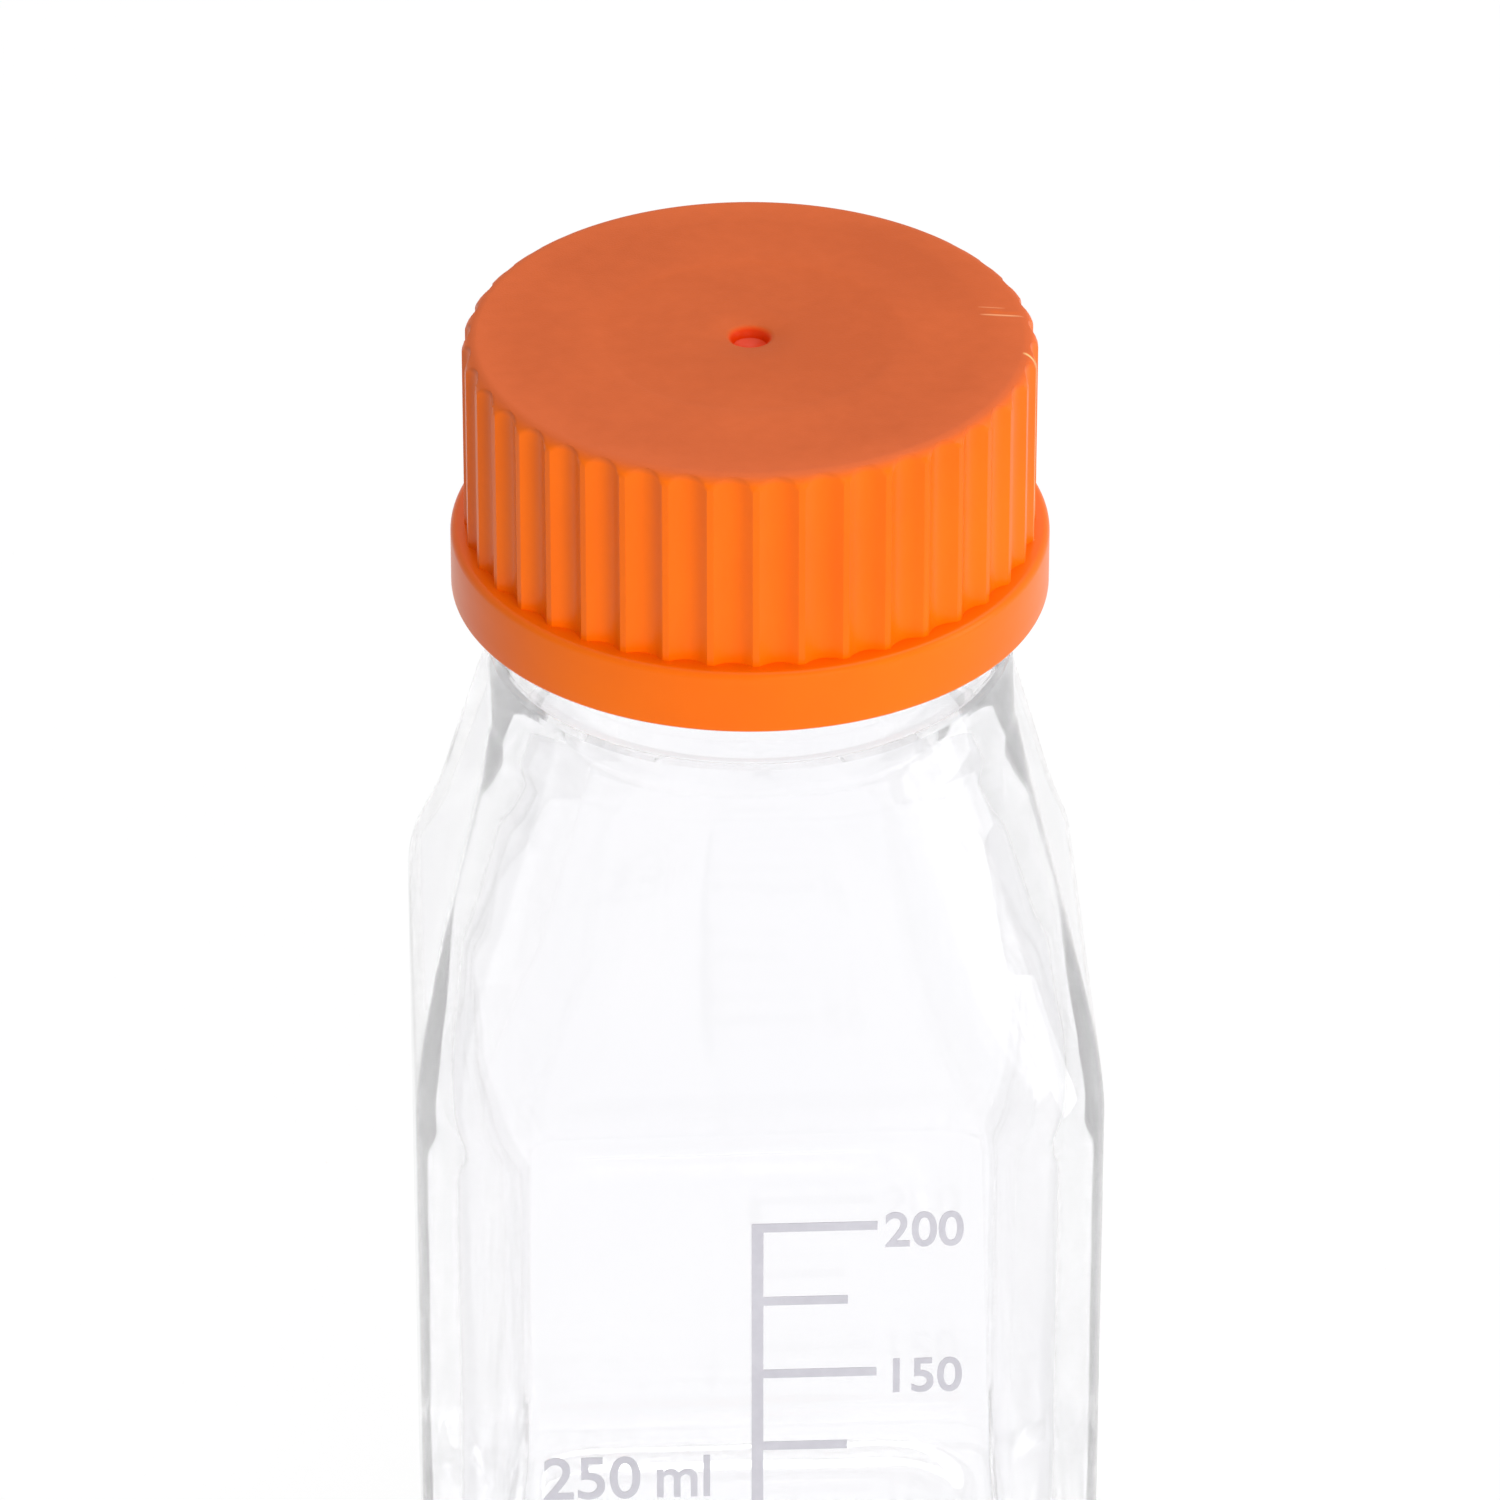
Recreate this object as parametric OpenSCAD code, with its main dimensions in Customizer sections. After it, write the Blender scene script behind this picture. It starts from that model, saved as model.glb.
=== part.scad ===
// Square media bottle: a blown glass bottle with a coarse neck thread, a pouring ring that
// snaps over the lip, and a ribbed screw cap that seals on the ring.
// The origin is at the middle of the base, on the surface the bottle stands on.

/* [Glass body] */
// Width across the flat sides
body_w = 64; // [52:1:90]
// Radius of the upright corners
corner_r = 10; // [7:0.5:16]
// Thickness of the glass in the sides
wall = 3.6; // [2.5:0.1:5]
// Thickness of the glass in the base, at its middle
base_t = 5; // [3.5:0.1:8]
// Depth of the hollow under the base
punt = 1.4; // [0.6:0.1:2.5]
// Radius of the bend from the sides to the base
heel_r = 5; // [3.5:0.5:6.5]
// Height of the straight sides, up to where the shoulder starts to bend in
side_h = 72; // [50:0.5:140]
// Height of the shoulder, from the straight sides up to the neck
shoulder_h = 39.7; // [30:0.1:60]
// Radius of the corners where the shoulder's panels slope in
shoulder_r = 17; // [12:0.5:20]

/* [Neck] */
// Height of the neck, from the shoulder to the lip
neck_h = 27.6; // [26:0.1:36]
// Outer radius of the neck between the turns of the thread
neck_r = 20.6; // [17:0.1:25]
// How far the collar at the foot of the neck stands out from the neck
collar_out = 3.7; // [3.2:0.1:5]
// Thickness of the glass in the neck
neck_wall = 4.2; // [3:0.1:5]
// How far the bead round the lip lies in from the neck
lip_in = 1.3; // [1:0.1:1.8]
// Depth of the groove under the lip bead
lip_groove = 0.5; // [0.3:0.05:0.8]
// Height of the lip bead
lip_bead_h = 2.6; // [2:0.1:3.5]
// Height of the whole seat for the pouring ring
lip_h = 5.2; // [4.5:0.1:6]

/* [Thread] */
// Rise of the thread in one turn
pitch = 4; // [3.6:0.1:4.5]
// Height of the glass thread above the neck
thread_h = 1.65; // [1.2:0.05:1.8]
// Turns of the thread on the glass
glass_turns = 1.5; // [1:0.25:2]
// Turns of the thread in the cap
cap_turns = 1.25; // [1:0.25:1.75]
// Clearance between the threads, and between the cap and the glass
thread_gap = 0.4; // [0.3:0.05:0.6]

/* [Pouring ring] */
// Thickness of the pouring ring
ring_wall = 1.1; // [0.8:0.1:1.3]
// Running clearance between the pouring ring and the glass
ring_gap = 0.08; // [0.05:0.01:0.1]
// Length of the sleeve that reaches down into the neck
ring_sleeve = 4; // [2.5:0.5:6]

/* [Screw cap] */
// Thickness of the cap's wall, ribs included
cap_wall = 3.65; // [3:0.05:5]
// How far the plain band at the foot stands out from the ribs
band_out = 1.3; // [0.6:0.1:3]
// Height of the plain band
band_h = 6.2; // [4:0.1:9]
// Length of the cap's skirt below its top plate
skirt_h = 23.4; // [21.5:0.1:26]
// Thickness of the cap's top plate
plate_t = 2.3; // [1.8:0.1:3.5]
// Radius of the cap's top edge
top_edge = 1.5; // [1:0.1:2.2]
// Number of hollow flutes round the cap
flutes = 40; // [24:2:60]
// Depth of a flute
flute_depth = 0.75; // [0.4:0.05:1]
// Share of each step that the flute takes, and the rest is rib
flute_share = 0.84; // [0.6:0.02:0.92]
// Turn of the flutes on the cap, as a share of one step
flute_turn = 0.35; // [0:0.05:1]
// Length of the sealing sleeve under the top plate
seal_len = 5; // [3:0.5:7]
// Thickness of the sealing sleeve
seal_wall = 1.2; // [0.9:0.1:1.6]
// Radius of the small dimple in the middle of the top
dimple_r = 1.9; // [1.2:0.1:3]
// Gap between two pieces that seat on each other
seat_gap = 0.3; // [0.2:0.05:0.4]

/* [Hidden] */

arc_steps = 8;        // facets round one upright corner
turn_steps = 48;      // facets in one turn of a thread
shoulder_steps = 22;  // rings up the shoulder
smooth = 96;
eps = 0.01;
lip_edge = 0.9;       // radius of the glass lip's two edges
flat_min = 0.15;      // half the flat that is left where a corner is all but a full circle

half_w = body_w / 2;
collar_z = side_h + shoulder_h;
lip_z = collar_z + neck_h;
// The sloping panels end here, where they run out on the round collar.
panel_top_z = side_h + 0.86 * shoulder_h;
collar_r = neck_r + collar_out;
lip_r = neck_r - lip_in;
bore_r = neck_r - neck_wall;
lip_bore_r = lip_r - neck_wall + 1;
groove_r = lip_r - lip_groove;
collar_bore_r = collar_r - neck_wall - 1.4;

// The thread's middle line on the glass starts at this height.
thread_z = lip_z - lip_h - 2.8 - glass_turns * pitch;
thread_tip_r = neck_r + thread_h;
cap_bore_r = thread_tip_r + thread_gap;
cap_tip_r = neck_r + thread_gap;
cap_r = cap_bore_r + cap_wall;
band_r = cap_r + band_out;
// The cap's thread runs half a pitch below the glass thread.
cap_thread_z = thread_z - pitch / 2;
cap_thread_first = glass_turns - cap_turns;

ring_top_z = lip_z + ring_gap + ring_wall;
cap_ceiling_z = ring_top_z + seat_gap;
cap_top_z = cap_ceiling_z + plate_t;
cap_foot_z = cap_ceiling_z - skirt_h;
ring_sleeve_r = lip_bore_r - ring_gap;
seal_r = ring_sleeve_r - ring_wall - seat_gap;

function smoothstep(t) = t * t * (3 - 2 * t);
function clamp01(t) = min(1, max(0, t));

// One level of the body: a square with rounded corners, half_width from its middle to its flats.
function level(half_width, radius, z) =
    let (r = min(radius, half_width - flat_min))
    [for (q = [0:3], i = [0:arc_steps])
        let (
            a = 90 * (q + i / arc_steps),
            sx = (q == 0 || q == 3) ? 1 : -1,
            sy = (q < 2) ? 1 : -1
        )
        [sx * (half_width - r) + r * cos(a), sy * (half_width - r) + r * sin(a), z]];

// Closes a stack of levels into one skin, flat at both ends.
module skin(levels) {
    count = len(levels[0]);
    last = len(levels) - 1;
    points = [for (l = levels, p = l) p];
    sides = [for (k = [0:last - 1], i = [0:count - 1])
        let (
            j = (i + 1) % count,
            a = k * count + i,
            b = k * count + j
        )
        each [[a, a + count, b], [b, a + count, b + count]]];
    bottom = [for (i = [0:count - 1]) i];
    top = [for (i = [count - 1:-1:0]) last * count + i];
    polyhedron(points, concat([bottom], sides, [top]));
}

// Half width of the shoulder at a height: a soft bend, then a straight slope in to the neck's
// radius, which it reaches at panel_top_z.
function shoulder_half(z, half_width, neck) =
    let (
        bend = 0.22,
        t = clamp01((z - side_h) / (panel_top_z - side_h)),
        fallen = t < bend ? t * t / (2 * bend) : t - bend / 2
    )
    half_width - (half_width - neck) * fallen / (1 - bend / 2);

// Corner radius at a height: the corners open a little at the bend, hold up the panels, and
// end as the round neck.
function shoulder_corner(z, radius, half_width) =
    let (
        t = clamp01((z - side_h) / shoulder_h),
        open = min(half_width, max(radius, shoulder_r + radius - corner_r)),
        held = radius + (open - radius) * smoothstep(min(1, t / 0.42)),
        last = clamp01((t - 0.75) / 0.25)
    )
    held + (half_width - held) * pow(last, 1.6);

function side_levels(half_width, radius, neck) =
    [for (k = [0:shoulder_steps])
        let (
            z = side_h + shoulder_h * k / shoulder_steps,
            w = shoulder_half(z, half_width, neck)
        )
        level(w, shoulder_corner(z, radius, w), z)];

// The bend between an upright side and a floor, from the floor up.
function heel_levels(half_width, radius, bend, z_floor) =
    [for (k = [0:5])
        let (a = 90 * k / 5, inset = bend * (1 - sin(a)))
        level(half_width - inset, max(radius - inset, 2), z_floor + bend * (1 - cos(a)))];

module body_outside() {
    skin(concat(
        heel_levels(half_w, corner_r, heel_r, 0),
        side_levels(half_w, corner_r, collar_r)
    ));
}

module body_inside() {
    inner_w = half_w - wall;
    inner_r = max(corner_r - wall * 0.5, 3);
    floor_z = punt + base_t;
    skin(concat(
        heel_levels(inner_w, inner_r, heel_r + 1, floor_z),
        side_levels(inner_w, inner_r, collar_bore_r),
        [level(collar_bore_r, collar_bore_r, collar_z + 1)]
    ));
}

// The hollow under the base leaves a flat rim to stand on.
module base_hollow() {
    rim = heel_r + 3;
    translate([0, 0, -eps])
        skin([
            level(half_w - rim, corner_r, 0),
            level(half_w - rim - 4, corner_r, punt),
            level(half_w - rim - 8, corner_r, punt + eps)
        ]);
}

// A thread ridge: low and high are the radii of its foot and its tip, on either side of a wall.
module ridge(z_start, turns, first_turn, foot_r, tip_r, foot_half, tip_half) {
    steps = round(turns * turn_steps);
    run_out = turn_steps / 10;
    points = [for (k = [0:steps])
        let (
            a = 360 * (first_turn + k / turn_steps),
            z = z_start + pitch * (first_turn + k / turn_steps),
            fade = clamp01(min(k, steps - k) / run_out),
            tip = foot_r + (tip_r - foot_r) * (0.3 + 0.7 * fade)
        )
        each [
            [foot_r * cos(a), foot_r * sin(a), z - foot_half],
            [tip * cos(a), tip * sin(a), z - tip_half],
            [tip * cos(a), tip * sin(a), z + tip_half],
            [foot_r * cos(a), foot_r * sin(a), z + foot_half]
        ]];
    sides = [for (k = [0:steps - 1], i = [0:3])
        let (
            a = 4 * k + i,
            b = 4 * k + (i + 1) % 4
        )
        each [[a, b, a + 4], [b, b + 4, a + 4]]];
    ends = [[3, 2, 1, 0], [4 * steps, 4 * steps + 1, 4 * steps + 2, 4 * steps + 3]];
    outward = tip_r > foot_r;
    faces = concat(sides, ends);
    polyhedron(points, outward ? faces : [for (f = faces) [for (i = [len(f) - 1:-1:0]) f[i]]]);
}

// Outline of the glass neck, from the shoulder to the lip: outside up, over the lip, inside down.
module neck_outline() {
    bury = 1.6;
    step_z = thread_z - pitch * 0.9;
    polygon(concat(
        [
            [collar_r - 2.2, collar_z - bury],
            [collar_r - 0.35, collar_z - bury],
            [collar_r - 0.35, collar_z + 4.4]
        ],
        [for (a = [0:15:90]) [neck_r + (collar_r - 0.35 - neck_r) * cos(a), collar_z + 4.4 + 2.4 * sin(a)]],
        [
            [neck_r, step_z],
            [neck_r, lip_z - lip_h],
            [groove_r, lip_z - lip_h + 0.8],
            [groove_r, lip_z - lip_bead_h - 0.5],
            [lip_r, lip_z - lip_bead_h]
        ],
        [for (a = [0:15:90])
            [lip_r - lip_edge + lip_edge * cos(a), lip_z - lip_edge + lip_edge * sin(a)]],
        [for (a = [90:15:180])
            [lip_bore_r + lip_edge + lip_edge * cos(a), lip_z - lip_edge + lip_edge * sin(a)]],
        [
            [lip_bore_r, lip_z - lip_h - 1],
            [bore_r, lip_z - lip_h - 4],
            [bore_r, collar_z + 5],
            [collar_bore_r - 0.6, collar_z + 1.2],
            [collar_bore_r - 0.6, collar_z - bury]
        ]
    ));
}

module bottle() {
    color("white", 0.4)
    union() {
        difference() {
            body_outside();
            body_inside();
            base_hollow();
        }
        rotate_extrude($fn = smooth) neck_outline();
        ridge(thread_z, glass_turns, 0, neck_r - 0.4, thread_tip_r, 1.75, 0.6);
    }
}

// The ring's lip, its inner sleeve and the outer skirt that snaps under the lip bead.
module pouring_ring() {
    skirt_in = lip_r + ring_gap;
    bottom_z = lip_z - lip_h + 1;
    snap_z = lip_z - lip_bead_h - 0.55 - ring_gap;
    snap = lip_groove * 0.7;
    over = lip_edge + ring_gap;
    color("darkorange")
    rotate_extrude($fn = smooth)
        polygon(concat(
            [
                [ring_sleeve_r - ring_wall, lip_z - ring_sleeve],
                [ring_sleeve_r, lip_z - ring_sleeve]
            ],
            [for (a = [180:-15:90])
                [lip_bore_r + lip_edge + over * cos(a), lip_z - lip_edge + over * sin(a)]],
            [for (a = [90:-15:0]) [lip_r - lip_edge + over * cos(a), lip_z - lip_edge + over * sin(a)]],
            [
                [skirt_in, snap_z + 0.5],
                [skirt_in - snap, snap_z],
                [skirt_in - snap, bottom_z + 0.5],
                [skirt_in, bottom_z],
                [skirt_in + ring_wall, bottom_z],
                [skirt_in + ring_wall, lip_z],
                [skirt_in + ring_wall - 0.9, ring_top_z],
                [ring_sleeve_r - ring_wall + 0.7, ring_top_z],
                [ring_sleeve_r - ring_wall, ring_top_z - 0.7]
            ]
        ));
}

// Outline of the cap's wall and top plate.
module cap_outline() {
    band_z = cap_foot_z + band_h;
    band_edge = 0.7;
    polygon(concat(
        [
            [0, cap_ceiling_z],
            [seal_r - seal_wall, cap_ceiling_z],
            [seal_r - seal_wall + 0.3, cap_ceiling_z - seal_len],
            [seal_r - 0.5, cap_ceiling_z - seal_len],
            [seal_r, cap_ceiling_z - seal_len + 1],
            [seal_r, cap_ceiling_z],
            [cap_bore_r - 0.8, cap_ceiling_z],
            [cap_bore_r, cap_ceiling_z - 0.8],
            [cap_bore_r, cap_foot_z + 2.5],
            [cap_bore_r + 1.2, cap_foot_z + 0.6],
            [cap_bore_r + 1.6, cap_foot_z],
            [band_r - 0.4, cap_foot_z],
            [band_r, cap_foot_z + 0.4]
        ],
        [for (a = [0:15:90])
            [band_r - band_edge + band_edge * cos(a), band_z - band_edge + band_edge * sin(a)]],
        [[cap_r, band_z]],
        [for (a = [0:15:90])
            [cap_r - top_edge + top_edge * cos(a), cap_top_z - top_edge + top_edge * sin(a)]],
        [[0, cap_top_z]]
    ));
}

// The hollow cut that makes one flute, a round bar standing beside the cap's wall.
module flute() {
    half_chord = PI * cap_r / flutes * flute_share;
    bar_r = (half_chord * half_chord + flute_depth * flute_depth) / (2 * flute_depth);
    translate([cap_r - flute_depth + bar_r, 0, cap_foot_z + band_h])
        cylinder(r = bar_r, h = cap_top_z - cap_foot_z, $fn = 32);
}

module screw_cap() {
    color("darkorange")
    union() {
        difference() {
            rotate_extrude($fn = smooth) cap_outline();
            for (k = [0:flutes - 1]) rotate([0, 0, 360 * (k + flute_turn) / flutes]) flute();
            translate([0, 0, cap_top_z - 0.4])
                cylinder(r1 = dimple_r - 0.15, r2 = dimple_r + 0.25, h = 0.4 + eps, $fn = 48);
            translate([0, 0, cap_top_z - 1.4]) cylinder(r = dimple_r - 0.15, h = 1.2, $fn = 48);
        }
        ridge(cap_thread_z, cap_turns, cap_thread_first, cap_bore_r + 0.4, cap_tip_r, 1.5, 0.5);
    }
}

bottle();
pouring_ring();
screw_cap();
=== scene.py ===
"""The looks of a square media bottle: blown glass, a ribbed orange cap and a fired enamel scale."""

import math

import bmesh
import bpy
import numpy as np
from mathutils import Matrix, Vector


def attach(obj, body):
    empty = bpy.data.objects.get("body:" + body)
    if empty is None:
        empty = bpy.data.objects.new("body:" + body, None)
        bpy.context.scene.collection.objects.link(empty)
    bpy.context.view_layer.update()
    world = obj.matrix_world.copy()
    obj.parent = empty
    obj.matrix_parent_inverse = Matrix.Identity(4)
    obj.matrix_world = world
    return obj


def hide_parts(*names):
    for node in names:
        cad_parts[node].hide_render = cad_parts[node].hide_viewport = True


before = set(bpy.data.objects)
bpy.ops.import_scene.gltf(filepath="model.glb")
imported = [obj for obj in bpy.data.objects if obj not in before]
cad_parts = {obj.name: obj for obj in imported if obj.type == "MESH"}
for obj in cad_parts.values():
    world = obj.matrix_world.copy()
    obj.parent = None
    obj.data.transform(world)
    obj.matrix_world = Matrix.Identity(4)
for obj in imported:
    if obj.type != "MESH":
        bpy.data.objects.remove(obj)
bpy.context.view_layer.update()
MM = 0.001

# Sizes of the glass, in millimetres, as in the part's source, but for the collar's bore, which
# is 0.2 mm narrower here.
HALF_W = 32.0
CORNER_R = 10.0
WALL = 3.6
BASE_T = 5.0
PUNT = 1.4
HEEL_R = 5.0
SIDE_H = 72.0
SHOULDER_H = 39.7
SHOULDER_R = 17.0
COLLAR_R = 24.3
COLLAR_STEP = 0.35
NECK_H = 27.6
NECK_R = 20.6
NECK_WALL = 4.2
LIP_R = 19.3
LIP_EDGE = 0.9
LIP_GROOVE = 0.5
LIP_BEAD_H = 2.6
LIP_H = 5.2
PITCH = 4.0
THREAD_H = 1.65
GLASS_TURNS = 1.5
CAP_TURNS = 1.25
THREAD_GAP = 0.4
SHOULDER_BEND = 0.22
PANEL_SHARE = 0.86

COLLAR_Z = SIDE_H + SHOULDER_H
LIP_Z = COLLAR_Z + NECK_H
BORE_R = NECK_R - NECK_WALL
LIP_BORE_R = LIP_R - NECK_WALL + 1
COLLAR_BORE_R = 18.5
THREAD_Z = LIP_Z - LIP_H - 2.8 - GLASS_TURNS * PITCH
CAP_THREAD_Z = THREAD_Z - PITCH / 2
CAP_THREAD_FIRST = GLASS_TURNS - CAP_TURNS

# Sizes of the cap and the ring, as in the part's source, but for the disc, which is only here.
CAP_R = 26.3
BAND_R = 27.6
BAND_H = 6.2
SKIRT_H = 23.4
PLATE_T = 2.3
TOP_EDGE = 1.5
FLUTES = 40
FLUTE_DEPTH = 0.75
FLUTE_SHARE = 0.84
FLUTE_TURN = 0.35
RING_WALL = 1.1
RING_GAP = 0.08
SEAT_GAP = 0.3
SEAL_LEN = 5.0
SEAL_WALL = 1.2
DIMPLE_R = 1.9
RING_SLEEVE_R = LIP_BORE_R - RING_GAP
SEAL_R = RING_SLEEVE_R - RING_WALL - SEAT_GAP
CAP_BORE_R = NECK_R + THREAD_H + THREAD_GAP
CAP_TIP_R = NECK_R + THREAD_GAP
DISC_R = 13.7
DISC_DEPTH = 0.09
CEILING_Z = LIP_Z + RING_GAP + RING_WALL + SEAT_GAP
TOP_Z = CEILING_Z + PLATE_T
FOOT_Z = CEILING_Z - SKIRT_H

# The printed scale on the front.
PRINT_T = 0.06
PRINT_BOLD = 0.08
SPINE_X = -0.7
LONG_END = 10.4
SHORT_END = 7.7
SPINE_W = 1.1
MARK_T = 0.95
MARK_STEP = 8.2
MARK_200_Z = 66.5
SPINE_FOOT_Z = 12.0
NUMBER_SIZE = 5.35
NUMBER_X = 11.0
NUMBER_DROP = 2.35
VOLUME_SIZE = 6.7
VOLUME_X = -20.9
UNIT_X = -10.4
VOLUME_Z = 36.4
NARROW = 0.93
UNIT_NARROW = 0.84


# --- helpers for node trees -------------------------------------------------------------------

class Num:
    """One number in a node tree: arithmetic on it adds the tree's Math nodes."""

    def __init__(self, graph, socket):
        self.graph = graph
        self.socket = socket

    def _op(self, operation, *values):
        return self.graph.math(operation, *values)

    def __add__(self, other):
        return self._op("ADD", self, other)

    def __radd__(self, other):
        return self._op("ADD", other, self)

    def __sub__(self, other):
        return self._op("SUBTRACT", self, other)

    def __rsub__(self, other):
        return self._op("SUBTRACT", other, self)

    def __mul__(self, other):
        return self._op("MULTIPLY", self, other)

    def __rmul__(self, other):
        return self._op("MULTIPLY", other, self)

    def __truediv__(self, other):
        return self._op("DIVIDE", self, other)

    def __pow__(self, other):
        return self._op("POWER", self, other)

    def __gt__(self, other):
        return self._op("GREATER_THAN", self, other)

    def __abs__(self):
        return self._op("ABSOLUTE", self)


class Graph:
    """Builds a material's or a geometry modifier's tree."""

    def __init__(self, tree):
        self.tree = tree

    def node(self, kind, settings=None, stops=None, **inputs):
        """Adds a node; an input goes by its socket's name, or by _ and its index."""
        made = self.tree.nodes.new(kind)
        for key, value in (settings or {}).items():
            setattr(made, key, value)
        if stops:
            ramp = made.color_ramp
            while len(ramp.elements) < len(stops):
                ramp.elements.new(0.5)
            for element, (place, colour) in zip(ramp.elements, stops):
                element.position, element.color = place, colour
        for name, value in inputs.items():
            self.feed(made, int(name[1:]) if name[0] == "_" else name.replace("_", " "), value)
        return made

    def feed(self, made, name, value):
        socket = made.inputs[name]
        if isinstance(value, Num):
            value = value.socket
        if isinstance(value, bpy.types.NodeSocket):
            self.tree.links.new(value, socket)
        else:
            socket.default_value = value

    def math(self, operation, *values):
        made = self.node("ShaderNodeMath", {"operation": operation})
        for index, value in enumerate(values):
            self.feed(made, index, value)
        return Num(self, made.outputs[0])

    def clamped(self, value):
        made = self.node("ShaderNodeClamp", _0=value)
        return Num(self, made.outputs[0])

    def num(self, socket):
        return Num(self, socket)


def material(name, build):
    """A node material; build(graph, coordinates, shader) wires it."""
    made = bpy.data.materials.new(name)
    made.use_nodes = True
    graph = Graph(made.node_tree)
    shader = made.node_tree.nodes["Principled BSDF"]
    place = graph.node("ShaderNodeTexCoord").outputs["Object"]
    build(graph, place, shader)
    return made


def noise(graph, place, scale, detail=3.0, roughness=0.5):
    """A noise pattern, from 0 to 1; scale is in waves a metre."""
    made = graph.node("ShaderNodeTexNoise", Vector=place, Scale=scale, Detail=detail,
                      Roughness=roughness)
    return graph.num(made.outputs[0])


def ramp(graph, value, *stops):
    """A colour from a value, between stops of (value, colour)."""
    made = graph.node("ShaderNodeValToRGB", stops=stops, _0=value)
    return made.outputs[0]


def grey_ramp(graph, value, low, high, start, end):
    """Goes from start, at low, to end, at high, and holds there."""
    return graph.num(graph.node("ShaderNodeMapRange", {"clamp": True}, _0=value,
                                _1=low, _2=high, _3=start, _4=end).outputs[0])


def bump(graph, height, distance, strength=1.0):
    """A bumped normal from a height pattern."""
    made = graph.node("ShaderNodeBump", Height=height, Distance=distance, Strength=strength)
    return made.outputs[0]


# --- materials --------------------------------------------------------------------------------

def clear_glass(graph, place, shader):
    """Blown glass: clear, with faint waves from the mould and a very slight grey cast.

    Its alpha is a little under 1, because light that ends inside the thick wall darkens its edges.
    """
    waves = noise(graph, place, 34.0, 1.5)
    ripple = noise(graph, place, 140.0, 2.0)
    cast = ramp(graph, waves, (0.3, (0.972, 0.970, 0.990, 1)), (0.7, (0.992, 0.990, 0.999, 1)))
    graph.feed(shader, "Base Color", cast)
    graph.feed(shader, "Normal", bump(graph, waves + ripple * 0.12, 0.00022, 0.5))
    graph.feed(shader, "Roughness", grey_ramp(graph, ripple, 0.3, 0.8, 0.0, 0.012))
    graph.feed(shader, "Alpha", grey_ramp(graph, waves, 0.3, 0.7, 0.80, 0.88))
    shader.inputs["Transmission Weight"].default_value = 1.0
    shader.inputs["IOR"].default_value = 1.474


def stroke(graph, x, y, start, end, width):
    """1 on a straight scratch from start to end, in millimetres, and 0 away from it."""
    dx, dy = end[0] - start[0], end[1] - start[1]
    px = x / MM - start[0]
    py = y / MM - start[1]
    along = graph.clamped((px * dx + py * dy) / (dx * dx + dy * dy))
    ax = px - along * dx
    ay = py - along * dy
    away = graph.math("SQRT", ax * ax + ay * ay)
    taper = 1 - abs(along * 2 - 1) ** 3.0
    return grey_ramp(graph, away, 0.0, width, 1.0, 0.0) * taper


def mix(graph, share, one, other):
    """One colour where share is 0 and the other where it is 1."""
    made = graph.node("ShaderNodeMix", {"data_type": "RGBA"}, _0=share, _6=one, _7=other)
    return made.outputs[2]


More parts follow.
